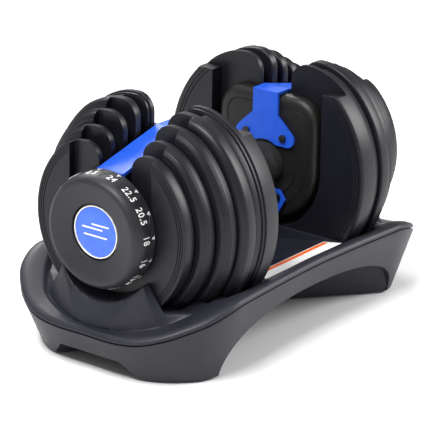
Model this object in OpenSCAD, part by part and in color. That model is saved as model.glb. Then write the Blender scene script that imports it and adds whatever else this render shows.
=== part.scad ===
// Adjustable dumbbell with a selector dial at each end, resting in its storage tray.
// X runs along the handle, Z is up, and the origin is on the ground under the middle of the tray.

/* [Dumbbell] */
// Distance between the front faces of the two dials
overall_l = 415; // [412:0.5:418]
// Height of the handle's axis above the ground
axis_h = 140; // [139:0.5:142]
// Outer radius of each plate, from the outermost pair to the innermost
plate_r = [91.5, 102, 113, 121, 122]; // [80:0.5:122]
// Distance of each plate's inner face from the middle of the handle
plate_in = [164, 146, 127, 107, 71]; // [60:0.5:170]
// Thickness of each plate
plate_t = [15.5, 16, 16.5, 17.5, 33.5]; // [12:0.5:36]
// Half the width of the slot that lifts each plate off the handle
slot_hw = 19.5; // [18:0.5:21]

/* [Selector] */
// Outer radius of the selector dial
dial_r = 57.5; // [54:0.5:60]
// Outer radius of the selector discs
disc_r = 46; // [44:0.5:47]
// Number of weight settings round the dial
settings = 15; // [15]
// First setting at which each plate pair is picked up, outermost first
first_setting = [14, 13, 12, 10, 8]; // [1:1:14]

/* [Handle] */
// Radius of the grip at its thickest point
grip_r = 17; // [15:0.5:19]
// Radius of the collar at each end of the grip
collar_r = 22; // [20:1:26]
// Half the width of the steel bridge over the selector discs
bridge_hw = 15.5; // [12:0.5:16]

/* [Tray] */
// Outline of the tray's seam in one quarter, from the middle of a side to the middle of an end
rim_points = [[0, 121], [60, 123], [110, 126], [145, 127.5], [172, 119.5],
    [192, 103], [207, 84], [217, 62], [221, 35], [221, 0]]; // [0:1:230]
// Outline of the sunken floor inside the rim, point for point with the seam
floor_points = [[0, 103.5], [60, 105], [110, 106.5], [140, 101], [160, 90.5],
    [177, 79], [190, 66.5], [199, 48], [206, 25], [208.5, 0]]; // [0:1:220]
// Height of the seam along the middle of the tray
seam_mid_h = 76.5; // [74:0.5:78]
// Height of the seam at the two ends
seam_end_h = 41; // [38:0.5:44]
// How far the foot of the skirt stands in from the seam
skirt_inset = 20.5; // [16:0.5:22]
// Wall thickness of the tray's mouldings
tray_wall = 3; // [2.5:0.5:3.5]

/* [Hidden] */
$fn = 96;
fit = 0.05;            // running clearance on a radius
gap = 0.5;             // clearance between neighbouring pieces
eps = 0.01;            // overlap that keeps a cut clean
pairs = len(plate_r);
plate_out = plate_in + plate_t;
hub_x0 = 73;           // inner face of the hub
hub_x1 = 86.5;         // outer face of the hub
hub_r = 62;            // round lower half of the hub
hub_top = 74;          // top of the hub above the axis
hub_corner = 28;
recess_d = 8;          // depth of the disc recess in a plate's outer face
recess_r = 50;         // half width of the disc recess
hub_recess_r = 69;     // half width of the hub recess in the innermost plate
hub_recess_d = 16;
lip_top = 85;          // where the lip round the hub recess stops, over the axis
shoulder = 4;          // step round a plate's outer rim
shoulder_t = 5;
horn_y = 38;           // where the two horns beside the slot are highest
horn_r = horn_y - slot_hw;
core_skin = 8;         // plastic round the edge of each steel core
core_lead = 1.2;       // plastic over each face of the core
tab_hw = 5;
tab_top = 35;          // the lifting tab, below the axis
tab_low = 41;
shaft_r = 10;
shaft_tip_r = 8;
tube_r = 11;
tube_end = 80;
disc_t = 2.2;
post_x = 62.9;
post_r = 3;
flange_t = 2.8;
flange_w = 4;
step_angle = 360 / settings;
badge_pocket_r = 28.3;
end_x0 = 177.8;        // the plate that carries the outer end of the shaft
end_x1 = 180.3;
dial_x0 = 180.8;
dial_x1 = overall_l / 2;
badge_x0 = 197.5;
badge_in = 5.3;         // the dished face is this deep at the badge
bracket_t = 3;
bracket_x0 = hub_x0 - bracket_t - 0.5;
bridge_in_h = 77;      // top of the bridge above the axis, over the hub
bridge_out_h = 56;     // the same at the dial
pin_x = 64;            // lock pin and release post, from the middle
pin_r = 3;
pin_low = 62;          // foot of the lock pin below the axis
lock_low = 57;         // foot of the lock's housing below the axis
lock_top = 33;
spring_low = 50;       // spring cavity
spring_top = 34.5;
collar_low = 43.8;     // the pin's collar carries the spring
seam_drop_x = 135;     // where the seam starts to fall towards the ends
well_gap = 1;          // clearance round a plate in its well
deck_h = 76;           // border of the deck between the wells
platform_h = 67.5;     // flat beside the two smallest plates
mound_x = 181.5;       // upright face of the mound in front of each dial
mound_h = 93;
// Sides of a mound: direction, distance from the middle at the top and at the foot, height of the foot
mound_faces = [[0, 190.5, 208.5, 46], [17, 196.5, 204.3, 48.5], [26, 193.2, 199.9, 51], [90, 50, 75.6, 54]];
scoop_r = 290;         // the deck is scooped out between its borders
scoop_depth = 12.6;
scoop_hw = 66;
rim_rise = 7;          // crest of the rim above the seam
arch_hw = 145;         // half width of the arch in each side of the skirt
arch_h = 55;
arch_power = 2.6;
foot_pad_h = 2;
corners = [for (sx = [-1, 1], sy = [-1, 1]) [sx, sy]];
screw_at = [172, 60];
post_h = 43;           // top of the posts that take the tray's screws
pad_at = [164, 82];
pad_r = 9;
foot_walls = [[145, 106], [62, 39], [165, 30], [202, 54.5]];

SIDES = ["left", "right"];

plastic_c = "#26272a";
tray_c = "#2f3033";
steel_c = "#8f9296";
blue_c = "#2457c9";
rubber_c = "#141414";

// ---------- shared geometry ----------

// Everything on the dumbbell is drawn for the +X end about the handle's axis.
module on_axis() { translate([0, 0, axis_h]) children(); }

// Draws a child once at the end named by side.
module at_end(side) { if (side == "right") children(); else mirror([1, 0, 0]) children(); }

// Extrudes a YZ outline from x0 to x1.
module across(x0, x1) {
    translate([x0, 0, 0]) rotate([90, 0, 90]) linear_extrude(x1 - x0) children();
}

// A round bar along X from x0 to x1.
module bar(r, x0, x1) { translate([x0, 0, 0]) rotate([0, 90, 0]) cylinder(r = r, h = x1 - x0); }

// A U: a round bottom of radius r, with straight sides that run up past everything.
module u_outline(r) {
    circle(r);
    translate([-r, 0]) square([2 * r, 200]);
}

// Outline of a plate, drawn in by k: a circle whose top ends in a round horn on each side of the slot.
module plate_outline(r, k = 0) {
    lobe_r = r - horn_y * sqrt(2) - k;
    corner_z = horn_y + lobe_r - (horn_r - k);
    difference() {
        union() {
            intersection() {
                circle(r - k);
                polygon([[0, 0], [r, r], [r, -r], [-r, -r], [-r, r]]);
            }
            for (s = [-1, 1]) translate([s * horn_y, horn_y]) circle(lobe_r);
        }
        difference() {
            translate([-horn_y, corner_z]) square([2 * horn_y, 2 * r]);
            for (s = [-1, 1]) translate([s * horn_y, corner_z]) circle(horn_r - k);
        }
        u_outline(slot_hw + k);
    }
}

// ---------- plates ----------

module plate(i) {
    color(plastic_c) on_axis() difference() {
        union() {
            across(plate_in[i], plate_out[i] - shoulder_t) plate_outline(plate_r[i]);
            across(plate_out[i] - shoulder_t - eps, plate_out[i]) plate_outline(plate_r[i], shoulder);
        }
        across(plate_out[i] - recess_d, plate_out[i] + 1) u_outline(recess_r);
        if (i == pairs - 1) across(plate_in[i] - 1, plate_in[i] + hub_recess_d) {
            u_outline(hub_recess_r);
            translate([-150, lip_top]) square([300, 100]);
        }
        core_solid(i);
    }
}

// Thickness and place of the steel core in plate i.
function core_t(i) = plate_t[i] - recess_d - 2 * core_lead - (i == pairs - 1 ? hub_recess_d : 0);
function core_x(i) = plate_out[i] - recess_d - core_lead - core_t(i);

// The steel core: a slab inside the moulding, with a tab that stands out into the disc recess.
module core_solid(i) {
    x = core_x(i);
    across(x, x + core_t(i)) plate_outline(plate_r[i], core_skin);
    tab_x1 = plate_out[i] - recess_d + flange_t + 0.4;
    translate([x, -tab_hw, -tab_low]) cube([tab_x1 - x, 2 * tab_hw, tab_low - tab_top]);
}

module core(i) { color(steel_c) on_axis() core_solid(i); }

// ---------- selector ----------

function disc_x(i) = plate_out[i] - recess_d + 0.8;

// The sector of the flange that lies under the tab from setting s0 to setting s1.
module flange_sector(s0, s1) {
    a0 = -90 + (s0 - 0.5) * step_angle;
    a1 = -90 + (s1 + 0.5) * step_angle;
    steps = ceil((a1 - a0) / step_angle);
    intersection() {
        difference() {
            circle(disc_r);
            circle(disc_r - flange_w);
        }
        polygon(concat([[0, 0]], [for (k = [0:steps]) let (a = a0 + (a1 - a0) * k / steps)
            1.2 * disc_r * [cos(a), sin(a)]]));
    }
}

// A selector disc: a thin plate, with a flange that catches the plate's tab at its settings.
module disc(i) {
    x = disc_x(i);
    color("#3a3b3e") on_axis() difference() {
        union() {
            across(x, x + flange_t + eps) flange_sector(first_setting[i], settings - 1);
            bar(disc_r, x + flange_t, x + flange_t + disc_t);
        }
        bar(shaft_r, x - 1, x + flange_t + disc_t + 1);
    }
}

module shaft() {
    color(steel_c) on_axis() difference() {
        union() {
            bar(shaft_r, tube_end + 0.3, end_x1 + 0.2);
            bar(shaft_tip_r, end_x1, 190);
        }
        bar(2.5, 175, 191);
    }
}

// The dial: a hollow cup with a boss that sits on the shaft, and a pocket for the badge.
module dial() {
    color(plastic_c) on_axis() rotate([0, 90, 0]) rotate_extrude() polygon([
        [shaft_tip_r, dial_x0], [14, dial_x0], [14, 193], [dial_r - 4, 193], [dial_r - 4, dial_x0],
        [dial_r, dial_x0], [dial_r, dial_x1 - 12], [dial_r - 1, dial_x1 - 7.5], [dial_r - 2.8, dial_x1 - 3.2],
        [dial_r - 5.5, dial_x1 - 0.7], [dial_r - 7.8, dial_x1], [dial_r - 10.5, dial_x1 - 0.5],
        [badge_pocket_r, dial_x1 - badge_in], [badge_pocket_r, badge_x0], [7, badge_x0],
        [7, 193.5], [2.5, 193.5], [2.5, 190], [shaft_tip_r, 190]
    ]);
}

module badge() { color(blue_c) on_axis() bar(26.4, badge_x0, dial_x1 - badge_in - 1.2); }

module dial_screw() {
    color(steel_c) on_axis() {
        bar(2.5, 177, 193.5);
        bar(5, 193.5, 196);
    }
}

// ---------- handle ----------

module grip() {
    color(rubber_c) on_axis() difference() {
        rotate([0, 90, 0]) rotate_extrude() polygon(concat(
            [[0, -hub_x0], [collar_r - 2, -hub_x0], [collar_r, 2 - hub_x0], [collar_r, -63], [18.5, -57]],
            [for (k = [0:16]) let (t = -1 + k / 8) [grip_r - 2 * sin(180 * abs(t)) * abs(t), 54 * t]],
            [[18.5, 57], [collar_r, 63], [collar_r, hub_x0 - 2], [collar_r - 2, hub_x0], [0, hub_x0]]));
        bar(tube_r, -hub_x0 - 1, hub_x0 + 1);
    }
}

module handle_tube() {
    color(steel_c) on_axis() difference() {
        bar(tube_r, -tube_end, tube_end);
        bar(tube_r - 3, -tube_end - 1, tube_end + 1);
    }
}

module hub_outline() {
    circle(hub_r);
    inner = hub_r - hub_corner;
    translate([-hub_r, 0]) square([2 * hub_r, hub_top - hub_corner]);
    translate([-inner, 0]) square([2 * inner, hub_top]);
    for (s = [-1, 1]) translate([s * inner, hub_top - hub_corner]) circle(hub_corner);
}

screw_spots = [[-23, 30], [23, 30], [-18, -34], [18, -34]];

module hub() {
    color("#232120") on_axis() difference() {
        across(hub_x0, hub_x1) hub_outline();
        bar(tube_r, hub_x0 - 1, tube_end);
        bar(shaft_r + fit, tube_end - 1, hub_x1 + 1);
        for (p = screw_spots) translate([0, p[0], p[1]]) bar(2.1, hub_x0 - 1, hub_x0 + 8);
    }
}

// The ears of the bridge, screwed to the hub's inner face.
module ear_outline() {
    difference() {
        union() {
            polygon([[-bridge_hw, bridge_in_h], [bridge_hw, bridge_in_h], [bridge_hw, 52], [33.5, 35],
                [28, 21], [-28, 21], [-33.5, 35], [-bridge_hw, 52]]);
            for (s = [-1, 1]) translate([28 * s, 29]) circle(8);
        }
        circle(collar_r + 3);
        for (k = [0, 1]) translate(screw_spots[k]) circle(2.2);
    }
}

module bridge() {
    color(blue_c) on_axis() {
        across(bracket_x0, bracket_x0 + bracket_t) ear_outline();
        rotate([90, 0, 0]) translate([0, 0, -bridge_hw]) linear_extrude(2 * bridge_hw) polygon([
            [bracket_x0, bridge_in_h], [hub_x1 + 2, bridge_in_h], [end_x0, bridge_out_h],
            [end_x0, disc_r + 1.5], [end_x0 - 2.5, disc_r + 1.5], [end_x0 - 2.5, bridge_out_h - 3],
            [hub_x1 + 1.5, bridge_in_h - 2.8], [bracket_x0, bridge_in_h - 2.8]
        ]);
    }
}

// The plate that hangs from the bridge and carries the outer end of the shaft.
module end_plate() {
    color(blue_c) on_axis() difference() {
        across(end_x0, end_x1) {
            translate([-bridge_hw, 0]) square([2 * bridge_hw, bridge_out_h]);
            circle(bridge_hw);
        }
        bar(shaft_r + fit, end_x0 - 1, end_x1 + 1);
    }
}

// The lower bracket: screwed to the hub, with a round housing for the lock pin and its spring.
module lower_bracket() {
    color(blue_c) on_axis() difference() {
        union() {
            across(bracket_x0, bracket_x0 + bracket_t) difference() {
                polygon([[-27, -36], [-20, -26], [20, -26], [27, -36], [22, -46], [bridge_hw, -lock_low],
                    [-bridge_hw, -lock_low], [-22, -46]]);
                circle(collar_r + 3);
                for (k = [2, 3]) translate(screw_spots[k]) circle(2.2);
            }
            translate([pin_x, 0, -lock_low]) cylinder(r = 6.8, h = lock_low - lock_top);
        }
        translate([pin_x, 0, -lock_low - 1]) cylinder(r = pin_r + fit, h = 10);
        translate([pin_x, 0, -spring_low]) cylinder(r = 5.2, h = spring_low - spring_top);
    }
}

module hub_screws() {
    color(steel_c) on_axis() for (side = SIDES) at_end(side) for (p = screw_spots)
        translate([0, p[0], p[1]]) {
            bar(2.1, bracket_x0, hub_x0 + 7.5);
            bar(4, bracket_x0 - 2, bracket_x0);
        }
}

module lock_pin() {
    color(steel_c) on_axis() translate([pin_x, 0, -pin_low]) {
        cylinder(r = pin_r, h = 24);
        translate([0, 0, pin_low - collar_low]) cylinder(r = 4.6, h = 1.6);
    }
}

// A closed tube swept along a helix; each ring is square to the path.
function helix_ring(r, a, z, pitch, wire, n) = [for (j = [0:n - 1])
    let (b = 360 * j / n, rr = r + wire * cos(b)) [rr * cos(a), rr * sin(a), z + wire * sin(b)]];

module helix(r, wire, height, turns, n = 6, per_turn = 14) {
    rings = turns * per_turn;
    pts = [for (k = [0:rings]) each helix_ring(r, 360 * k / per_turn, height * k / rings, height / turns,
        wire, n)];
    sides = [for (k = [0:rings - 1], j = [0:n - 1]) let (a = k * n + j, b = k * n + (j + 1) % n)
        each [[a, b, b + n], [a, b + n, a + n]]];
    ends = [[for (j = [n - 1:-1:0]) j], [for (j = [0:n - 1]) rings * n + j]];
    polyhedron(pts, concat(sides, ends));
}

module lock_spring() {
    color(steel_c) on_axis() translate([pin_x, 0, -collar_low + 2.2]) helix(4.2, 0.5, 6.4, 4);
}

// ---------- tray ----------

// Catmull-Rom curve through p1 and p2.
function blend_point(p0, p1, p2, p3, t) = 0.5 * (2 * p1 + (p2 - p0) * t + (2 * p0 - 5 * p1 + 4 * p2 - p3)
    * t * t + (3 * p1 - p0 - 3 * p2 + p3) * t * t * t);

function flip_x(p) = [-p[0], p[1]];
function flip_y(p) = [p[0], -p[1]];

spans = len(rim_points) - 1;
per_span = 4;
quarter_n = spans * per_span;
function quarter(p) = let (c = concat([flip_x(p[1])], p, [flip_y(p[spans - 1])]))
    [for (k = [0:quarter_n - 1]) let (i = floor(k / per_span))
        blend_point(c[i], c[i + 1], c[i + 2], c[i + 3], (k % per_span) / per_span)];
function half(p) = let (q = quarter(p)) concat([p[spans]], [for (k = [quarter_n - 1:-1:0]) q[k]],
    [for (k = [1:quarter_n - 1]) flip_x(q[k])], [flip_x(p[spans])]);
function whole(p) = let (h = half(p)) concat(h, [for (k = [len(h) - 2:-1:1]) flip_y(h[k])]);
outline = whole(rim_points);
floor_line = whole(floor_points);
outline_n = len(outline);

function seam_z(x) = let (t = max(0, (abs(x) - seam_drop_x) / (rim_points[spans][0] - seam_drop_x)))
    seam_mid_h - (seam_mid_h - seam_end_h) * pow(t, 1.5);

// The seam's outline moved inwards by d; flat rings keep the height z, others follow the seam.
function ring(d, dz, z = -1) = [for (k = [0:outline_n - 1]) let (p = outline[k],
    q = outline[(k + 1) % outline_n] - outline[(k + outline_n - 1) % outline_n], m = norm(q),
    x = p[0] - d * q[1] / m, y = p[1] + d * q[0] / m) [x, y, z < 0 ? seam_z(p[0]) + dz : z]];

// A ring part of the way f from the seam to the floor line, dz above the seam and sunk with the floor.
function sunk(x) = let (t = min(1, max(0, (abs(x) - 120) / 55))) 2.8 * t * t * (3 - 2 * t);
function inner_ring(f, dz) = [for (k = [0:outline_n - 1]) let (p = outline[k], q = floor_line[k],
    v = p + f * (q - p)) [v[0], v[1], seam_z(p[0] + f * f * (q[0] - p[0])) + dz - f * f * sunk(q[0])]];

// A solid through rings of equal length, closed by strips across the tray at its top and bottom.
module loft(rings) {
    n = outline_n;
    last = (len(rings) - 1) * n;
    sides = [for (i = [0:len(rings) - 2], k = [0:n - 1]) let (a = i * n + k, b = i * n + (k + 1) % n)
        each [[a, a + n, b + n], [a, b + n, b]]];
    strips = [for (k = [0:n / 2 - 1]) k == 0 ? [0, 1, n - 1] : k == n / 2 - 1 ? [k, k + 1, k + 2]
        : [k, k + 1, n - k - 1, n - k]];
    tops = [for (s = strips) [for (j = [len(s) - 1:-1:0]) s[j] + last]];
    polyhedron([for (r = rings) each r], concat(sides, strips, tops));
}

// The wells that hold the plates and the scoop in the deck, larger by extra.
module wells(extra) {
    on_axis() for (s = [0, 1]) mirror([s, 0, 0]) for (i = [0:pairs - 1])
        bar(plate_r[i] + well_gap + extra, plate_in[i] - well_gap - extra, plate_out[i] + well_gap + extra);
    translate([0, 0, deck_h - scoop_depth + scoop_r])
        bar(scoop_r + extra, -scoop_hw - extra, scoop_hw + extra);
}

// The raised parts of the cover, smaller by k: deck border, platforms and end mounds.
module raised(k) {
    top_z = deck_h + 0.2 - k;
    translate([-120, k - 98, 30]) cube([240, 2 * (98 - k), top_z - 30]);
    for (s = [0, 1]) mirror([s, 0, 0]) {
        translate([0, 0, 31]) linear_extrude(platform_h - k - 31) polygon([[mound_x + 2 - k, 69 - k],
            [160, 83 - k], [100, 97 - k], [100, k - 97], [160, k - 83], [mound_x + 2 - k, k - 69]]);
        intersection() {
            wedge(mound_faces[0], k, mound_x, mound_h - k);
            both_sides(mound_faces[1], k);
            both_sides(mound_faces[2], k);
            both_sides(mound_faces[3], k);
        }
    }
}

// A block from x0 up to one sloping side of a mound, under the height top.
module wedge(f, k, x0, top) {
    slope = (f[2] - f[1]) / (mound_h - f[3]);
    rotate([0, 0, f[0]]) translate([0, 250, 0]) rotate([90, 0, 0]) linear_extrude(500)
        polygon([[x0, 31], [x0, top], [f[1] + slope * (mound_h - top) - k, top], [f[2] - k, f[3]], [f[2] - k, 31]]);
}

module both_sides(f, k) {
    intersection() {
        wedge(f, k, -250, mound_h + 5);
        mirror([0, 1, 0]) wedge(f, k, -250, mound_h + 5);
    }
}

// Room for the dial, in front of the smallest plate, larger by extra.
module dial_room(extra) {
    on_axis() for (s = [0, 1]) mirror([s, 0, 0]) translate([mound_x - 3, 0, 0]) rotate([0, 90, 0])
        cylinder(r1 = 65 + extra, r2 = 74 + extra, h = 34);
}

// Posts or holes at the tray's four screws.
module at_screws(z) { for (c = corners) translate([c[0] * screw_at[0], c[1] * screw_at[1], z]) children(); }

// The cover starts as a solid block; a hollow below it leaves a shell and the bellies of the wells.
module tray_top() {
    lip = tray_wall + 0.4;
    inner = lip + tray_wall;
    color(tray_c) difference() {
        union() {
            loft([ring(skirt_inset + 8, 0, 8), ring(lip, 0.2), ring(0.2, 0.3), ring(0.2, 3),
                ring(2.5, rim_rise - 0.8), inner_ring(0.3, rim_rise), inner_ring(0.48, rim_rise - 0.8),
                inner_ring(0.78, rim_rise - 2.6), inner_ring(0.96, 0.2), inner_ring(1, -0.5)]);
            raised(0);
        }
        difference() {
            union() {
                raised(tray_wall);
                loft([ring(skirt_inset, 0, 3), ring(lip - 1, -6), ring(inner, -6), ring(inner, -3.5)]);
            }
            wells(tray_wall);
            dial_room(tray_wall);
            at_screws(post_h + 0.5) cylinder(r = 5, h = 60);
        }
        wells(0);
        dial_room(0);
        at_screws(post_h) cylinder(r = 2, h = 12);
    }
}

module skirt_shell() {
    difference() {
        loft([ring(skirt_inset, 0, foot_pad_h), ring(0, 0), ring(9, -0.8)]);
        loft([ring(skirt_inset + tray_wall, 0, foot_pad_h - 1), ring(tray_wall, 0.5), ring(tray_wall, 9)]);
        side_arch();
        end_arch();
    }
}

// The walls that close a foot on its inside, its sole and the post for a screw.
module foot_inside() {
    translate([0, 0, foot_pad_h]) linear_extrude(56) for (k = [0:2]) {
        p = foot_walls[k];
        q = foot_walls[k + 1];
        d = (q - p) / norm(q - p) * 1.25;
        n = [-d[1], d[0]];
        polygon([p - d + n, q + d + n, q + d - n, p - d - n]);
    }
    translate([0, 0, foot_pad_h]) linear_extrude(3)
        polygon([[145, 106], [122, 87], [158, 31], [165, 30], [202, 54.5], [204, 110]]);
    translate([screw_at[0], screw_at[1], foot_pad_h]) cylinder(r = 6, h = post_h - foot_pad_h);
}

module tray_base() {
    color(tray_c) difference() {
        union() {
            skirt_shell();
            intersection() {
                loft([ring(skirt_inset + 0.5, 0, foot_pad_h), ring(tray_wall + 1, -7)]);
                for (c = corners) scale([c[0], c[1], 1]) foot_inside();
            }
        }
        wells(tray_wall + gap);
        at_screws(0) cylinder(r = 2.2, h = 60);
    }
}

module side_arch() {
    rotate([90, 0, 0]) translate([0, 0, -150]) linear_extrude(300) polygon(concat(
        [for (k = [0:24]) let (a = 180 * k / 24) [arch_hw * sign(cos(a)) * pow(abs(cos(a)), 2 / arch_power),
            arch_h * pow(sin(a), 2 / arch_power)]], [[-arch_hw, -5], [arch_hw, -5]]));
}

module end_arch() {
    rotate([90, 0, 90]) translate([0, 0, -260]) linear_extrude(520) polygon([[-58, -5], [-54.5, 0],
        [-36, 19], [36, 19], [54.5, 0], [58, -5]]);
}

module tray_feet() {
    color(rubber_c) for (c = corners) translate([c[0] * pad_at[0], c[1] * pad_at[1], 0])
        cylinder(r = pad_r, h = foot_pad_h);
}

module tray_screws() {
    color(steel_c) {
        at_screws(0.4) cylinder(r = 4, h = foot_pad_h - 0.4);
        at_screws(foot_pad_h) cylinder(r = 2, h = post_h - foot_pad_h + 11);
    }
}

// A plain printed strip on the border of the deck, along the near side of the tray.
module tray_label() {
    color("white") translate([-62, -101.5, deck_h + 0.2]) cube([126, 16.5, 0.4]);
}

module release_posts() {
    low = deck_h - scoop_depth + 0.1;
    color(tray_c) for (s = [-1, 1]) translate([s * post_x, 0, low])
        cylinder(r = post_r, h = axis_h - pin_low - 0.3 - low);
}

// ---------- drawing ----------

tray_top();
tray_base();
tray_feet();
tray_screws();
tray_label();
release_posts();
grip();
handle_tube();
hub_screws();
for (side = SIDES, i = [0:pairs - 1]) {
    at_end(side) plate(i);
    at_end(side) core(i);
    at_end(side) disc(i);
}
for (side = SIDES) {
    at_end(side) hub();
    at_end(side) bridge();
    at_end(side) lower_bracket();
    at_end(side) end_plate();
    at_end(side) lock_pin();
    at_end(side) lock_spring();
    at_end(side) shaft();
    at_end(side) dial();
    at_end(side) badge();
    at_end(side) dial_screw();
}
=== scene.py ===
"""Looks for the adjustable dumbbell in its tray. Lengths are in millimetres until a mesh is made."""
import math

import bmesh
import bpy
import numpy as np
from mathutils import Matrix, Vector


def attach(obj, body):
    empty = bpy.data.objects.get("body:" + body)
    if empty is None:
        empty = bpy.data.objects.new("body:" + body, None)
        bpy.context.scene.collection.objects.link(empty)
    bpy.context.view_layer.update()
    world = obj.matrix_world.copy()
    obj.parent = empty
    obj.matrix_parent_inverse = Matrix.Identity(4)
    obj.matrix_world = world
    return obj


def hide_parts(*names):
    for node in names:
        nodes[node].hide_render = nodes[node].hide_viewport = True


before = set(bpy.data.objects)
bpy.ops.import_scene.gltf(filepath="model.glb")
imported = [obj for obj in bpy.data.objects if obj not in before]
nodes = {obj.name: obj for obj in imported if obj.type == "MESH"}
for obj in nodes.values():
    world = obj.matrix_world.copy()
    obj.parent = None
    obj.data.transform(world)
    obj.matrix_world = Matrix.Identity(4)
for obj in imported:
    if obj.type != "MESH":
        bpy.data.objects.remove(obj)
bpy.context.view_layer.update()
SIDES = {"left": -1, "right": 1}
AXIS = 140.0
PLATE_R = (91.5, 102, 113, 121, 122)
PLATE_IN = (164, 146, 127, 107, 71)
PLATE_OUT = (179.5, 162, 143.5, 124.5, 104.5)
SLOT_HW = 19.5        # half width of a plate's slot
HORN_Y = 38           # where a plate's two horns are highest
HORN_R = 18.5
CORNER_DROP = 34.24   # from a plate's radius down to the middle of its horn's inner round
DISC_RECESS_R, DISC_RECESS_D = 50, 8
HUB_RECESS_R, HUB_RECESS_D = 69, 16
LIP_TOP = 85          # where the lip round the hub recess stops, over the axis


# ---------- materials ----------

def links(mat):
    tree = mat.node_tree
    return tree, tree.nodes, tree.links


def finish(name, dark, light, rough=(0.4, 0.5), grain=900.0, height=0.00008, mottle=30.0, metallic=0.0,
           specular=0.5, coat=0.0, soften=0.0004, detail=3.0):
    """A procedural surface: two-tone mottling, roughness that varies, moulded grain and softened edges."""
    mat = bpy.data.materials.new(name)
    mat.use_nodes = True
    tree, n, link = links(mat)
    shader = n["Principled BSDF"]
    shader.inputs["Metallic"].default_value = metallic
    shader.inputs["Specular IOR Level"].default_value = specular
    shader.inputs["Coat Weight"].default_value = coat
    shader.inputs["Coat Roughness"].default_value = 0.12
    place = n.new("ShaderNodeTexCoord")
    big = n.new("ShaderNodeTexNoise")
    big.inputs["Scale"].default_value = mottle
    big.inputs["Detail"].default_value = 4.0
    link.new(place.outputs["Object"], big.inputs["Vector"])
    ramp = n.new("ShaderNodeValToRGB")
    ramp.color_ramp.elements[0].position = 0.3
    ramp.color_ramp.elements[0].color = (*dark, 1)
    ramp.color_ramp.elements[1].position = 0.7
    ramp.color_ramp.elements[1].color = (*light, 1)
    link.new(big.outputs["Fac"], ramp.inputs["Fac"])
    link.new(ramp.outputs["Color"], shader.inputs["Base Color"])
    spread = n.new("ShaderNodeMapRange")
    spread.inputs["From Min"].default_value = 0.3
    spread.inputs["From Max"].default_value = 0.7
    spread.inputs["To Min"].default_value = rough[0]
    spread.inputs["To Max"].default_value = rough[1]
    link.new(big.outputs["Fac"], spread.inputs["Value"])
    link.new(spread.outputs["Result"], shader.inputs["Roughness"])
    fine = n.new("ShaderNodeTexNoise")
    fine.inputs["Scale"].default_value = grain
    fine.inputs["Detail"].default_value = detail
    link.new(place.outputs["Object"], fine.inputs["Vector"])
    bump = n.new("ShaderNodeBump")
    bump.inputs["Strength"].default_value = 1.0
    bump.inputs["Distance"].default_value = height
    link.new(fine.outputs["Fac"], bump.inputs["Height"])
    if soften:
        bevel = n.new("ShaderNodeBevel")
        bevel.samples = 4
        bevel.inputs["Radius"].default_value = soften
        link.new(bevel.outputs["Normal"], bump.inputs["Normal"])
    link.new(bump.outputs["Normal"], shader.inputs["Normal"])
    return mat


def knurled(mat, scale, height):
    """Adds crossed ridges to a finish, as on a rubber grip."""
    tree, n, link = links(mat)
    place = n.new("ShaderNodeTexCoord")
    first = n["Principled BSDF"].inputs["Normal"].links[0].from_node
    last = first
    for turn in (0.7, -0.7):
        spin = n.new("ShaderNodeMapping")
        spin.inputs["Rotation"].default_value = (turn, 0.0, turn)
        wave = n.new("ShaderNodeTexWave")
        wave.inputs["Scale"].default_value = scale
        link.new(place.outputs["Object"], spin.inputs["Vector"])
        link.new(spin.outputs["Vector"], wave.inputs["Vector"])
        bump = n.new("ShaderNodeBump")
        bump.inputs["Distance"].default_value = height
        link.new(wave.outputs["Fac"], bump.inputs["Height"])
        link.new(last.outputs["Normal"], bump.inputs["Normal"])
        last = bump
    link.new(last.outputs["Normal"], n["Principled BSDF"].inputs["Normal"])


M = {
    "tray": finish("moulded_tray_plastic", (0.013, 0.0135, 0.0205), (0.019, 0.0195, 0.028), (0.42, 0.5), 700.0,
                   0.00022, 18.0, specular=0.36),
    "plate": finish("moulded_plate_plastic", (0.0055, 0.0055, 0.0085), (0.009, 0.009, 0.0125), (0.36, 0.44),
                    1300.0, 0.00005, 14.0, specular=0.32),
    "hub": finish("hub_plastic", (0.007, 0.0065, 0.0055), (0.011, 0.0105, 0.0095), (0.42, 0.5), 1300.0, 0.00005,
                  specular=0.4),
    "disc": finish("disc_plastic", (0.012, 0.012, 0.013), (0.018, 0.018, 0.019), (0.45, 0.55)),
    "dial": finish("dial_plastic", (0.015, 0.015, 0.0195), (0.021, 0.021, 0.0265), (0.42, 0.5), 1500.0, 0.00006,
                   specular=0.36),
    "blue": finish("blue_powder_coat", (0.010, 0.085, 0.60), (0.016, 0.105, 0.68), (0.42, 0.5), 1000.0, 0.00004,
                   60.0, coat=0.04, specular=0.4),
    "badge": finish("blue_badge", (0.012, 0.10, 0.62), (0.02, 0.13, 0.70), (0.3, 0.36), 800.0, 0.00001, 90.0,
                    coat=0.5, soften=0.0),
    "silver": finish("badge_ring", (0.75, 0.74, 0.68), (0.85, 0.84, 0.78), (0.25, 0.32), 600.0, 0.00001, 80.0,
                     metallic=0.35),
    "steel": finish("zinc_steel", (0.42, 0.43, 0.45), (0.55, 0.56, 0.58), (0.25, 0.4), 1500.0, 0.00002, 60.0,
                    metallic=1.0),
    "dark_steel": finish("dark_screw_steel", (0.05, 0.05, 0.055), (0.09, 0.09, 0.095), (0.3, 0.45), 1500.0,
                         0.00002, 60.0, metallic=1.0),
    "rubber": finish("matt_rubber", (0.010, 0.010, 0.010), (0.016, 0.016, 0.016), (0.6, 0.75), 1100.0, 0.00008),
    "white": finish("white_print", (0.80, 0.80, 0.78), (0.88, 0.88, 0.86), (0.45, 0.55), 900.0, 0.00001, 60.0,
                    soften=0.0),
    "orange": finish("orange_print", (0.80, 0.13, 0.02), (0.88, 0.18, 0.03), (0.4, 0.5), 900.0, 0.00001, 60.0,
                     soften=0.0),
}
M["grip"] = finish("grip_rubber", (0.012, 0.012, 0.012), (0.018, 0.018, 0.018), (0.55, 0.68), 900.0, 0.00006)
knurled(M["grip"], 260.0, 0.0004)


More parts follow.
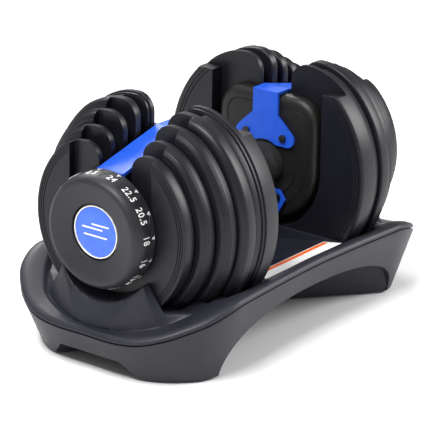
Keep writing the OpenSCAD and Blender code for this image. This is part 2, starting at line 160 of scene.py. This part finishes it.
# ---------- mesh helpers ----------

def mesh_object(name, verts, faces):
    mesh = bpy.data.meshes.new(name)
    mesh.from_pydata([(x / 1000, y / 1000, z / 1000) for x, y, z in verts], [], faces)
    bm = bmesh.new()
    bm.from_mesh(mesh)
    bmesh.ops.remove_doubles(bm, verts=bm.verts, dist=1e-7)
    bmesh.ops.recalc_face_normals(bm, faces=bm.faces)
    bm.to_mesh(mesh)
    bm.free()
    obj = bpy.data.objects.new(name, mesh)
    bpy.context.scene.collection.objects.link(obj)
    return obj


def shade(obj, angle=32.0):
    for p in obj.data.polygons:
        p.use_smooth = True
    obj.data.set_sharp_from_angle(angle=math.radians(angle))


def place(obj, mat, body, slot, replaces=(), angle=32.0):
    obj.data.materials.clear()
    obj.data.materials.append(M[mat])
    shade(obj, angle)
    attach(obj, body)
    if replaces:
        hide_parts(*replaces)
    return obj


def loft(rings, wrap=False):
    """Faces through rings of equal length; the ends are closed with flat caps, or joined when wrap is set."""
    n = len(rings[0])
    verts = [tuple(p) for ring in rings for p in ring]
    last = len(rings) if wrap else len(rings) - 1
    faces = []
    for i in range(last):
        j = (i + 1) % len(rings)
        faces += [(i * n + k, i * n + (k + 1) % n, j * n + (k + 1) % n, j * n + k) for k in range(n)]
    if not wrap:
        faces += [tuple(range(n))[::-1], tuple((len(rings) - 1) * n + k for k in range(n))]
    return verts, faces


def revolve(profile, steps=128):
    """Turns (radius, x) points about the handle's axis. A closed profile gives a closed ring or disc."""
    rings = []
    for k in range(steps):
        a = 2 * math.pi * k / steps
        rings.append([(x, r * math.cos(a), AXIS + r * math.sin(a)) for r, x in profile])
    n = len(profile)
    faces = [(i * n + k, i * n + (k + 1) % n, (i + 1) % steps * n + (k + 1) % n, (i + 1) % steps * n + k)
             for i in range(steps) for k in range(n)]
    return [p for ring in rings for p in ring], faces


def arc(cx, cy, r, a0, a1, n):
    return [(cx + r * math.cos(math.radians(a0 + (a1 - a0) * k / n)),
             cy + r * math.sin(math.radians(a0 + (a1 - a0) * k / n))) for k in range(n + 1)]


def prism(outline, x0, x1, s=1):
    """An extruded YZ outline from x0 to x1, mirrored to the other end when s is -1."""
    return loft([[(s * x, y, AXIS + z) for y, z in outline] for x in (x0, x1)])


def merge(parts):
    verts, faces = [], []
    for v, f in parts:
        faces += [tuple(i + len(verts) for i in face) for face in f]
        verts += v
    return verts, faces


def cut(obj, tools, operation="DIFFERENCE"):
    for tool in tools:
        m = obj.modifiers.new("cut", "BOOLEAN")
        m.operation = operation
        m.solver = "EXACT"
        m.object = tool
    settle(obj)
    for tool in tools:
        bpy.data.objects.remove(tool)


def settle(obj):
    """Applies an object's modifiers."""
    bpy.context.view_layer.update()
    graph = bpy.context.evaluated_depsgraph_get()
    mesh = bpy.data.meshes.new_from_object(obj.evaluated_get(graph))
    obj.modifiers.clear()
    obj.data = mesh


# ---------- plates ----------

def plate_outline(r, k):
    """One plate's outline drawn in by k, always with the same number of points."""
    lobe, corner = r - HORN_Y * math.sqrt(2) - k, r - CORNER_DROP
    half = arc(0, 0, r - k, -90, 45, 54)[:-1] + arc(HORN_Y, HORN_Y, lobe, 45, 90, 12)[:-1]
    half += arc(HORN_Y, corner, HORN_R - k, 90, 180, 9)
    half += [(SLOT_HW + k, corner * (1 - t / 6)) for t in range(1, 6)]
    half += arc(0, 0, SLOT_HW + k, 0, -90, 12)
    return half + [(-y, z) for y, z in half[-2:0:-1]]


def u_outline(r, top=140.0):
    return arc(0, 0, r, 180, 360, 60) + [(r, top), (-r, top)]


GROOVED = {0: (3.2, 5.6, 8.0), 1: (7.6, 10.0, 12.4), 2: (9.5,), 3: (9.5,), 4: ()}


def plate_profile(i):
    """(x, inset) pairs from the inner face to the outer face, with the rim rounded and fine grooves turned in."""
    a, b = PLATE_IN[i], PLATE_OUT[i]
    out = [(a, 2.2), (a + 0.3, 1.1), (a + 1.0, 0.3), (a + 2.2, 0)]
    if i == 4:
        out = [(a, 11.5), (a + 0.6, 11.2), (a + 0.6, 10.5), (a, 10.2), (a, 8.1), (a + 0.6, 7.8), (a + 0.6, 7.1),
               (a, 6.8), (a, 3.6), (a + 0.5, 1.8), (a + 1.6, 0.5), (a + 3.4, 0), (b - 13, 0), (b - 12.4, 0.4),
               (b - 12.2, 1.6), (b - 9.2, 1.9), (b - 9.0, 3.4), (b - 2.2, 3.8), (b - 0.7, 4.5), (b, 6.0)]
        return out
    if i == 0:
        out += [(b - 1.6, 0), (b - 0.6, 0.4), (b, 1.4)]
    elif i == 3:
        out += [(b - 6.6, 0), (b - 5.4, 0.2), (b - 4.6, 0.5), (b - 4.4, 1.0), (b - 3.4, 1.4), (b - 2.3, 2.3),
                (b - 0.9, 4.2), (b, 6.3)]
    else:
        out += [(b - 7.4, 0), (b - 7.2, 0.5), (b - 6.0, 0.5), (b - 5.8, 1.0), (b - 4.6, 1.2), (b - 4.4, 1.8),
                (b - 3.1, 2.3), (b - 2.9, 2.9), (b - 1.6, 3.8), (b - 1.4, 4.4), (b - 0.5, 5.2), (b, 6.3)]
    for k in GROOVED[i]:
        out += [(b, k), (b - 0.8, k + 0.2), (b - 0.8, k + 0.8), (b, k + 1.0)]
    return out


def plate(i, side):
    s, r, a, b = SIDES[side], PLATE_R[i], PLATE_IN[i], PLATE_OUT[i]
    rings = [[(s * x, y, AXIS + z) for y, z in plate_outline(r, k)] for x, k in plate_profile(i)]
    obj = mesh_object(f"plate_shell_{i + 1}_{side}", *loft(rings))
    tools = [mesh_object("tool", *prism(u_outline(DISC_RECESS_R), b - DISC_RECESS_D, b + 3, s))]
    if i == 4:
        far, high = 150, 160
        lip = arc(0, 0, HUB_RECESS_R, 180, 360, 60)
        lip += [(HUB_RECESS_R, LIP_TOP), (far, LIP_TOP), (far, high), (-far, high), (-far, LIP_TOP),
                (-HUB_RECESS_R, LIP_TOP)]
        tools.append(mesh_object("tool", *prism(lip, a - 3, a + HUB_RECESS_D, s)))
    cut(obj, tools)
    return place(obj, "plate", f"plates_{i + 1}", "plate_plastic", [f"plate_{i + 1}_{side}"])


for side in SIDES:
    for i in range(5):
        plate(i, side)
        nodes[f"core_{i + 1}_{side}"].data.materials[0] = M["steel"]
        nodes[f"disc_{i + 1}_{side}"].data.materials[0] = M["disc"]


# ---------- dial, numbers and badge ----------

DIAL = [(8, 180.8), (14, 180.8), (14, 193), (53.5, 193), (53.5, 181.3), (54, 180.8), (57, 180.8), (57.5, 181.3),
        (57.5, 184), (57.5, 194), (57.35, 196.2), (57.0, 198.2), (56.4, 200.2), (55.5, 202.2), (54.3, 204.2),
        (52.9, 205.9), (51.4, 206.9), (49.8, 207.35), (48.0, 207.2), (45, 206.4), (40, 205.1), (34, 203.6),
        (29.6, 202.5), (28.9, 202.2), (28.4, 201.7), (28.3, 201), (28.3, 197.5), (7, 197.5), (7, 193.5),
        (2.5, 193.5), (2.5, 190), (8, 190)]
NUMBERS = ("2.5", "24", "22.5", "20.5", "18", "16", "13.5", "11.5", "10", "9", "8", "6.5", "5.5", "4.5", "3.5")
STEP = 24.0
FIRST = -9.0


def around(s, angle, x, r):
    """A point on the dial: angle goes clockwise from the top, seen from that end."""
    a = math.radians(angle)
    return (s * x, s * r * math.sin(a), AXIS + r * math.cos(a))


def dial_surface(x):
    """Radius of the dial's side at a distance x along the handle."""
    side = sorted((q[1], q[0]) for q in DIAL[7:17])
    return float(np.interp(x, [q[0] for q in side], [q[1] for q in side]))


def number_mesh(text, s, angle, foot, size):
    """A number wrapped round the dial, standing 0.25 mm proud, with its top towards the plates."""
    curve = bpy.data.curves.new("number", "FONT")
    curve.body = text
    curve.size = size
    curve.align_x = "CENTER"
    curve.extrude = 0.25
    curve.offset = 0.1
    curve.space_character = 1.12
    curve.resolution_u = 4
    flat = bpy.data.objects.new("number", curve)
    bpy.context.scene.collection.objects.link(flat)
    bpy.context.view_layer.update()
    mesh = bpy.data.meshes.new_from_object(flat.evaluated_get(bpy.context.evaluated_depsgraph_get()))
    verts = []
    for v in mesh.vertices:
        x = foot - v.co.y
        verts.append(around(s, angle + math.degrees(0.8 * v.co.x / 57.5), x, dial_surface(x) + v.co.z))
    faces = [tuple(p.vertices) for p in mesh.polygons]
    bpy.data.objects.remove(flat)
    return verts, faces


def pointer_mesh(s, angle):
    """A small triangle beside each number, with its point towards the number."""
    tri = [(-2.1, 183.1), (2.1, 183.1), (0, 187.3)]
    return loft([[around(s, angle + math.degrees(u / 57.5), x, r) for u, x in tri] for r in (57.3, 57.72)])


def panel_mesh(s, angle):
    """A raised arch line round each number, open towards the face."""
    line = [(11.2 * math.cos(t) * abs(math.cos(t)) ** -0.3, 201 - 16.2 * math.sin(t) ** 0.75)
            for t in np.linspace(0.02, math.pi - 0.02, 25)]
    rings = []
    for u, x in line:
        a = angle + math.degrees(u / 57.5)
        r = dial_surface(x)
        rings.append([around(s, a, x - 0.45, r - 0.2), around(s, a, x - 0.15, r + 0.3),
                      around(s, a, x + 0.15, r + 0.3), around(s, a, x + 0.45, r - 0.2)])
    return loft(rings)


for side, s in SIDES.items():
    body = f"selector_{side}"
    dial = mesh_object(f"dial_cup_{side}", *revolve([(r, s * x) for r, x in DIAL], 160))
    place(dial, "dial", body, "dial_plastic", [f"dial_{side}"])
    marks, panels = [], []
    for k, text in enumerate(NUMBERS):
        angle = FIRST + STEP * k
        marks += [number_mesh(text, s, angle, 198.3, 11.3), pointer_mesh(s, angle)]
        panels.append(panel_mesh(s, angle))
    place(mesh_object(f"dial_numbers_{side}", *merge(marks)), "white", body, "label")
    place(mesh_object(f"dial_panels_{side}", *merge(panels)), "dial", body, "dial_plastic")
    ring = [(26.4, 197.6), (26.4, 200.5), (26.2, 200.8), (25.8, 200.9), (25.2, 200.8), (25.0, 200.5),
            (25.0, 197.6)]
    place(mesh_object(f"badge_ring_{side}", *revolve([(r, s * x) for r, x in ring])), "silver", body,
          "badge_plastic")
    dome = [(0.01, 197.6), (0.01, 200.8)] + [(r, 200.8 - 1.1 * (r / 25) ** 4) for r in
                                             (4, 8, 12, 16, 19, 21.5, 23.2, 24.3, 25.0)] + [(25.0, 197.6)]
    place(mesh_object(f"badge_dome_{side}", *revolve([(r, s * x) for r, x in dome])), "badge", body,
          "badge_plastic", [f"badge_{side}"])
    bars = []
    for y0, y1, z in ((-13.5, 13.5, -4.0), (-15.5, 8.0, 3.2), (-4.0, 15.5, 7.4)):
        pts = arc(y1, z, 0.75, -90, 90, 8) + arc(y0, z, 0.75, 90, 270, 8)
        bars.append(loft([[(s * x, s * y, AXIS + w) for y, w in pts] for x in (200.1, 200.92)]))
    place(mesh_object(f"badge_mark_{side}", *merge(bars)), "white", body, "label")


# ---------- handle ----------

def hub_outline(k):
    r, c, top = 62 - k, 28 - k, 74 - k
    half = arc(0, 0, r, -90, 0, 36)[:-1] + [(r, (top - c) * t / 4) for t in range(4)]
    half += arc(r - c, top - c, c, 0, 90, 14) + [((r - c) * (1 - t / 4), top) for t in range(1, 5)]
    return half + [(-y, z) for y, z in half[-2:0:-1]]


for side, s in SIDES.items():
    prof = [(86.5, 1.0), (85.7, 0.3), (84.5, 0), (80.5, 0), (78.2, 0.5), (76.2, 1.6), (74.7, 3.2), (73.6, 5.2),
            (73.1, 7.4), (73.0, 9.5), (73.0, 12.0), (73.7, 12.3), (73.7, 13.0), (73.0, 13.3)]
    rings = [[(s * x, y, AXIS + z) for y, z in hub_outline(k)] for x, k in prof]
    hub = mesh_object(f"hub_shell_{side}", *loft(rings))
    bore = arc(0, 0, 11.0, 0, 360, 64)[:-1]
    groove = loft([[(s * x, y, AXIS + z) for y, z in arc(0, 0, r, 0, 360, 96)[:-1]]
                   for x, r in ((72.0, 39.0), (73.8, 39.0), (73.8, 36.8), (72.0, 36.8))], wrap=True)
    cut(hub, [mesh_object("tool", *prism(bore, 70, 90, s)), mesh_object("tool", *groove)])
    place(hub, "hub", "handle", "hub_plastic", [f"hub_{side}"])
    ticks = []
    for k in range(31):
        a = -118 + 5.2 * k
        c, d = math.cos(math.radians(a)), math.sin(math.radians(a))
        long = 3.2 if k % 5 else 5.0
        quad = [(50.5 * c - 0.45 * d, 50.5 * d + 0.45 * c), (50.5 * c + 0.45 * d, 50.5 * d - 0.45 * c),
                ((50.5 - long) * c + 0.45 * d, (50.5 - long) * d - 0.45 * c),
                ((50.5 - long) * c - 0.45 * d, (50.5 - long) * d + 0.45 * c)]
        ticks.append(loft([[(s * x, y, AXIS + z) for y, z in quad] for x in (72.65, 73.3)]))
    place(mesh_object(f"hub_ticks_{side}", *merge(ticks)), "hub", "handle", "hub_plastic")

grip = [(17 - 2 * math.sin(math.pi * abs(t)) * abs(t), 54 * t) for t in np.linspace(-1, 1, 41)]
end = [(17.2, 56), (17.8, 57.6), (18.9, 59.2), (20.4, 60.8), (21.4, 62.3), (21.9, 64), (21.9, 65.8),
       (21.3, 66.1), (21.3, 67.0), (21.9, 67.3), (21.9, 69.2), (21.3, 69.5), (21.3, 70.4), (21.9, 70.7),
       (21.9, 71.9), (21.5, 72.6), (20.8, 73), (11, 73)]
profile = [(r, -x) for r, x in end[::-1]] + grip + end
rings = [[(x, r * math.cos(2 * math.pi * k / 96), AXIS + r * math.sin(2 * math.pi * k / 96)) for r, x in profile]
         for k in range(96)]
n = len(profile)
obj = mesh_object("grip_sleeve", [p for ring in rings for p in ring],
                  [(i * n + k, i * n + (k + 1) % n, (i + 1) % 96 * n + (k + 1) % n, (i + 1) % 96 * n + k)
                   for i in range(96) for k in range(n)])
place(obj, "grip", "handle", "rubber", ["grip"])

for side in SIDES:
    for name, mat in (("bridge", "blue"), ("end_plate", "blue"), ("lower_bracket", "blue"), ("lock_pin", "steel"),
                      ("lock_spring", "steel"), ("shaft", "steel"), ("dial_screw", "steel")):
        nodes[f"{name}_{side}"].data.materials[0] = M[mat]
nodes["handle_tube"].data.materials[0] = M["steel"]
nodes["hub_screws"].data.materials[0] = M["dark_steel"]
nodes["tray_screws"].data.materials[0] = M["dark_steel"]
nodes["tray_feet"].data.materials[0] = M["rubber"]
nodes["release_posts"].data.materials[0] = M["tray"]


# ---------- tray ----------

RIM = [(0, 121), (60, 123), (110, 126), (145, 127.5), (172, 119.5), (192, 103), (207, 84), (217, 62), (221, 35),
       (221, 0)]
FLOOR = [(0, 103.5), (60, 105), (110, 106.5), (140, 101), (160, 90.5), (177, 79), (190, 66.5), (199, 48), (206, 25),
         (208.5, 0)]


def catmull(points, per_span):
    p = [(-points[1][0], points[1][1])] + list(points) + [(points[-2][0], -points[-2][1])]
    out = []
    for i in range(len(points) - 1):
        a, b, c, d = (np.array(q, float) for q in p[i:i + 4])
        for k in range(per_span):
            t = k / per_span
            out.append(0.5 * (2 * b + (c - a) * t + (2 * a - 5 * b + 4 * c - d) * t * t
                              + (3 * b - a - 3 * c + d) * t ** 3))
    return out + [np.array(points[-1], float)]


def whole(points):
    quarter = catmull(points, 10)
    half = quarter[::-1] + [np.array((-x, y)) for x, y in quarter[1:]]
    return np.array(half + [(x, -y) for x, y in half[-2:0:-1]])


OUT = whole(RIM)
FOOT = whole(FLOOR)


def seam(x):
    t = np.maximum(0, (np.abs(x) - 135) / 86)
    return 76.5 - 35.5 * t ** 1.5


NORMAL = np.roll(OUT, -1, 0) - np.roll(OUT, 1, 0)
NORMAL = np.stack([-NORMAL[:, 1], NORMAL[:, 0]], 1) / np.linalg.norm(NORMAL, axis=1)[:, None]


def floor_z(x):
    """Height of the floor line inside the rim."""
    t = np.clip((np.abs(x) - 120) / 55, 0, 1)
    return seam(x) - 0.4 - 2.8 * t * t * (3 - 2 * t)


def rim_ring(d, dz):
    p = OUT + d * NORMAL
    return [(x, y, z) for (x, y), z in zip(p, seam(OUT[:, 0]) + dz)]


def floor_ring(f, dz):
    """A ring part of the way f from the seam to the floor line."""
    p = OUT + f * (FOOT - OUT)
    base = seam(OUT[:, 0] + f * f * (FOOT[:, 0] - OUT[:, 0]))
    sink = floor_z(FOOT[:, 0]) - seam(FOOT[:, 0])
    return [(x, y, z) for (x, y), z in zip(p, base + dz + f * f * sink)]


RIM_SECTION = [(6.4, -3), (3.4, -3), (3.4, 0.7), (1.5, 1.3), (0.7, 1.4), (0.3, 1.7), (0.15, 2.3), (0.5, 3.5),
               (1.3, 4.9), (2.4, 6.0)]
INNER_SECTION = [(0.22, 6.7), (0.3, 7.0), (0.4, 6.8), (0.5, 6.35), (0.6, 5.8), (0.7, 5.2), (0.77, 4.7), (0.82, 4.1),
                 (0.87, 3.0), (0.92, 1.6), (0.96, 0.7), (1.0, 0.15), (1.02, -0.2), (1.02, -1.6), (0.62, -1.6)]


def smooth_max(a, b, k):
    h = np.clip(0.5 + 0.5 * (a - b) / k, 0, 1)
    return b + (a - b) * h + k * h * (1 - h)


def smooth_min(a, b, k):
    return -smooth_max(-a, -b, k)


PAD, ARCH_HALF, ARCH_H, ARCH_POWER = 2, 145, 55, 2.6
MOUND = ((0, 190.5, 208.5, 46), (17, 196.5, 204.3, 48.5), (26, 193.2, 199.9, 51))


def bed_height(x, y):
    """Height of the moulded bed inside the rim, for arrays of x and y."""
    x, y = np.abs(x), np.abs(y)
    low = floor_z(x)
    z = np.where((x < 110) & (y < 98), np.maximum(low, 76.2), low)
    near = FOOT[(FOOT[:, 0] >= 0) & (FOOT[:, 1] >= 0)]
    near = near[np.argsort(near[:, 0])]
    foot_y = np.interp(x, near[:, 0], near[:, 1])
    foot_y = np.maximum(foot_y, 61)
    flank = low + (93 - low) * (foot_y - y) / (foot_y - 50)
    mound = smooth_min(np.full_like(x, 93.0), flank, 1.2)
    for turn, top, foot, height in MOUND:
        a = math.radians(turn)
        d = x * math.cos(a) + y * math.sin(a)
        mound = smooth_min(mound, 93 + (top - d) * (93 - height) / (foot - top), 1.2)
    raised = np.where(x > 181.5, mound, smooth_min(np.full_like(x, 67.5), flank, 1.5))
    z = smooth_max(z, raised, 1.5)
    r = 65 + 9 * (x - 178.5) / 34
    bowl = AXIS - np.sqrt(np.maximum(r * r - y * y, 0))
    z = np.where((x > 180.9) & (y < r), smooth_min(z, bowl, 1.2), z)
    for i in range(5):
        rr = PLATE_R[i] + 1
        bowl = AXIS - np.sqrt(np.maximum(rr * rr - y * y, 0))
        inside = (x > PLATE_IN[i] - 1) & (x < PLATE_OUT[i] + 1) & (y < rr)
        z = np.where(inside, np.minimum(z, bowl), z)
    scoop = 63.4 + 290 - np.sqrt(290 ** 2 - np.minimum(y, 280) ** 2)
    return np.where(x < 66, np.minimum(z, scoop), z)


def bed():
    """The bed as a closed shell: an upper surface, the same surface 2.6 mm lower, and a strip round the edge."""
    inner = OUT + 0.99 * (FOOT - OUT)
    half_x = np.abs(inner[:, 0]).max() - 0.05
    walls = [66.0] + [v for i in range(5) for v in (PLATE_IN[i] - 1, PLATE_OUT[i] + 1)] + [181.5]
    xs = set(np.round(np.linspace(0, half_x, 136), 3))
    xs = {v for v in xs if min(abs(v - w) for w in walls) > 0.7} | {w + e for w in walls for e in (-0.15, 0.15)}
    xs = np.array(sorted(xs))
    xs = np.concatenate([-xs[:0:-1], xs])
    top = inner[inner[:, 1] > 0]
    top = top[np.argsort(top[:, 0])]
    edge = np.interp(xs, top[:, 0], top[:, 1])
    s = np.linspace(-1, 1, 151)
    gx = np.repeat(xs[:, None], len(s), 1)
    gy = edge[:, None] * s[None, :]
    gz = bed_height(gx, gy)
    rows, cols = gx.shape
    verts = [tuple(p) for p in np.stack([gx, gy, gz], 2).reshape(-1, 3)]
    verts += [(x, y, z - 2.6) for x, y, z in verts]
    total = rows * cols
    faces = []
    for i in range(rows - 1):
        for j in range(cols - 1):
            a = i * cols + j
            faces.append((a, a + 1, a + cols + 1, a + cols))
            faces.append(tuple(total + v for v in (a, a + cols, a + cols + 1, a + 1)))
    loop = [j for j in range(cols)] + [i * cols + cols - 1 for i in range(1, rows)]
    loop += [(rows - 1) * cols + j for j in range(cols - 2, -1, -1)] + [i * cols for i in range(rows - 2, 0, -1)]
    faces += [(loop[k], loop[k - 1], total + loop[k - 1], total + loop[k]) for k in range(len(loop))]
    return verts, faces


profile_rings = [rim_ring(d, dz) for d, dz in RIM_SECTION] + [floor_ring(f, dz) for f, dz in INNER_SECTION]
rim = mesh_object("tray_rim", *loft(profile_rings, wrap=True))
place(rim, "tray", "tray", "tray_plastic", angle=40)
place(mesh_object("tray_bed", *bed()), "tray", "tray", "tray_plastic", ["tray_top"], angle=38)


def level_ring(d, z):
    """A ring at one height, drawn in by d from the seam."""
    return [(x, y, z) for x, y in OUT + d * NORMAL]


def blend(a, b, t):
    return [tuple(np.array(p) + t * (np.array(q) - np.array(p))) for p, q in zip(a, b)]


def ellipse_arch(half, height, power=2.6, n=48):
    pts = []
    for k in range(n + 1):
        c, d = math.cos(math.pi * k / n), math.sin(math.pi * k / n)
        pts.append((half * math.copysign(abs(c) ** (2 / power), c), height * max(d, 0) ** (2 / power)))
    return pts + [(-half, -5), (half, -5)]


foot_ring, inner_foot = level_ring(20.5, PAD), level_ring(23.5, PAD)
low_ring = level_ring(21.3, PAD)
outer_top, inner_top = rim_ring(0, 0), rim_ring(3.0, 0.3)
skirt_rings = [low_ring, blend(foot_ring, outer_top, 0.012)]
skirt_rings += [blend(foot_ring, outer_top, t) for t in (0.03, 0.2, 0.4, 0.6, 0.8, 0.94, 0.985)]
skirt_rings += [[(x, y, z) for (x, y, _), (_, _, z) in zip(rim_ring(0.5, 0), rim_ring(0.5, 0.05))]]
skirt_rings += [inner_top] + [blend(inner_top, inner_foot, t) for t in (0.25, 0.5, 0.75, 1.0)]
skirt = mesh_object("tray_skirt", *loft(skirt_rings, wrap=True))
arch = ellipse_arch(ARCH_HALF, ARCH_H, ARCH_POWER)
end = [(-58, -5), (-54.5, 0), (-38, 17.4), (-36.5, 18.5), (-34.5, 19), (34.5, 19), (36.5, 18.5), (38, 17.4),
       (54.5, 0), (58, -5)]
cut(skirt, [mesh_object("tool", *loft([[(x, y, z) for x, z in arch] for y in (-150, 150)])),
            mesh_object("tool", *loft([[(x, y, z) for y, z in end] for x in (-260, 260)]))])
place(skirt, "tray", "tray", "tray_plastic", ["tray_base"], angle=30)


def meet(p, q, curve):
    """Where the line from p through q leaves a closed curve in plan."""
    p, d = np.array(p, float), np.array(q, float) - np.array(p, float)
    a, e = curve, np.roll(curve, -1, 0) - curve
    det = d[0] * -e[:, 1] + e[:, 0] * d[1]
    w = a - p
    t = (w[:, 0] * -e[:, 1] + e[:, 0] * w[:, 1]) / det
    u = (d[0] * w[:, 1] - d[1] * w[:, 0]) / det
    return p + d * min(t[(t > 0) & (u >= 0) & (u < 1)])


def foot_wall(p, q, cx, cy):
    """A wall from p towards q that follows the bed above it and the skirt at its far end."""
    low = meet(p, q, OUT + 23.0 * NORMAL)
    high = meet(p, q, OUT + 5.5 * NORMAL)
    p = np.array(p, float)
    rings = []
    for t in np.linspace(0, 1, 41):
        b, c = p + t * (low - p), p + t * (high - p)
        side = np.array([-(low - p)[1], (low - p)[0]]) / np.linalg.norm(low - p) * 1.25
        near = [bed_height(np.array([c[0] + o * 3]), np.array([c[1]]))[0] for o in (-1, 0, 1)]
        top = min(min(near) - 2.7, float(seam(c[0])) - 1.5)
        rings.append([(cx * v[0], cy * v[1], z) for v, z in
                      ((b - side, PAD), (c - side, top), (c + side, top), (b + side, PAD))])
    return loft(rings)


def foot_parts(cx, cy):
    a, p, q, b = ((145, 106), (62, 39), (165, 30), (202, 54.5))
    parts = [foot_wall(p, a, cx, cy), foot_wall(q, b, cx, cy)]
    top = min(bed_height(np.array([p[0]]), np.array([p[1]]))[0], bed_height(np.array([q[0]]), np.array([q[1]]))[0])
    d = np.array(q, float) - np.array(p, float)
    n = np.array([-d[1], d[0]]) / np.linalg.norm(d) * 1.25
    ring = [np.array(v) + o for v, o in ((p, -n), (p, n), (q, n), (q, -n))]
    parts.append(loft([[(cx * x, cy * y, z) for x, y in ring] for z in (PAD, top - 3.0)]))
    inside = OUT + 22.8 * NORMAL
    ends = [meet(p, a, inside), meet(q, b, inside)]
    turn = np.arctan2(inside[:, 1], inside[:, 0])
    lim = sorted(math.atan2(e[1], e[0]) for e in ends)
    edge = inside[(turn > lim[0]) & (turn < lim[1])]
    edge = edge[np.argsort(np.arctan2(edge[:, 1], edge[:, 0]))]
    low, high = (ends[1], ends[0]) if ends[0][1] > ends[1][1] else (ends[0], ends[1])
    first, last = (q, p) if low is ends[1] else (p, q)
    sole = [tuple(first), tuple(low)] + [tuple(v) for v in edge] + [tuple(high), tuple(last)]
    parts.append(loft([[(cx * x, cy * y, z) for x, y in sole] for z in (PAD + 0.1, PAD + 3)]))
    post = arc(172, 60, 6, 0, 360, 32)[:-1]
    parts.append(loft([[(cx * x, cy * y, z) for x, y in post] for z in (PAD + 3.1, 43)]))
    return parts


walls = [part for cx in (-1, 1) for cy in (-1, 1) for part in foot_parts(cx, cy)]
place(mesh_object("tray_foot_walls", *merge(walls)), "tray", "tray", "tray_plastic", angle=24)

strip = [(-62, -101.5), (66, -101.5), (58, -85), (-66, -85)]
stripe = [(-61.4, -90.6), (58.2, -90.6), (56, -86), (-62.6, -86)]
for name, pts, z0, z1, mat in (("tray_strip", strip, 76.2, 76.5, "white"),
                               ("tray_strip_stripe", stripe, 76.45, 76.58, "orange")):
    obj = mesh_object(name, *loft([[(x, y, z) for x, y in pts] for z in (z0, z1)]))
    place(obj, mat, "tray", "label", ["tray_label"] if mat == "white" else ())


# ---------- floor, light and camera ----------

def stage_material(name, colour):
    mat = bpy.data.materials.new(name)
    mat.use_nodes = True
    mat.node_tree.nodes["Principled BSDF"].inputs["Base Color"].default_value = (*colour, 1)
    mat.node_tree.nodes["Principled BSDF"].inputs["Roughness"].default_value = 0.9
    return mat


bpy.ops.mesh.primitive_plane_add(size=30, location=(0, 0, 0))
floor = bpy.context.object
floor.name = "floor"
floor.data.materials.append(stage_material("floor_paper", (0.9, 0.9, 0.9)))

world = bpy.data.worlds.new("studio")
bpy.context.scene.world = world
world.use_nodes = True
back = world.node_tree.nodes["Background"]
back.inputs["Color"].default_value = (1, 1, 1, 1)
back.inputs["Strength"].default_value = 0.42


def softbox(name, place_at, aim, size, power):
    light = bpy.data.lights.new(name, "AREA")
    light.shape = "RECTANGLE"
    light.size, light.size_y = size
    light.energy = power
    obj = bpy.data.objects.new(name, light)
    obj.location = place_at
    obj.rotation_euler = (Vector(aim) - Vector(place_at)).to_track_quat("-Z", "Y").to_euler()
    bpy.context.scene.collection.objects.link(obj)


softbox("key", (-1.3, -0.1, 2.2), (0, 0, 0.1), (1.1, 0.8), 70)
softbox("side", (1.7, -1.7, 1.3), (0, 0, 0.1), (0.6, 1.3), 56)
softbox("rim", (1.2, 1.9, 1.9), (0, 0, 0.15), (1.3, 0.7), 46)

az, el, roll = math.radians(-53.139), math.radians(19.9), math.radians(1.016)
target = Vector((-0.012177, 0, 0.104891))
backward = Vector((math.sin(az) * math.cos(el), -math.cos(az) * math.cos(el), math.sin(el)))
camera = bpy.data.objects.new("camera", bpy.data.cameras.new("camera"))
camera.data.sensor_width = 36
camera.data.lens = 225.2
camera.data.clip_end = 50
camera.location = target + backward * 2.70565
turn = (-backward).to_track_quat("-Z", "Y").to_matrix()
camera.rotation_euler = (turn @ Matrix.Rotation(roll, 3, "Z")).to_euler()
bpy.context.scene.collection.objects.link(camera)
bpy.context.scene.camera = camera
bpy.context.scene.view_settings.view_transform = "Standard"
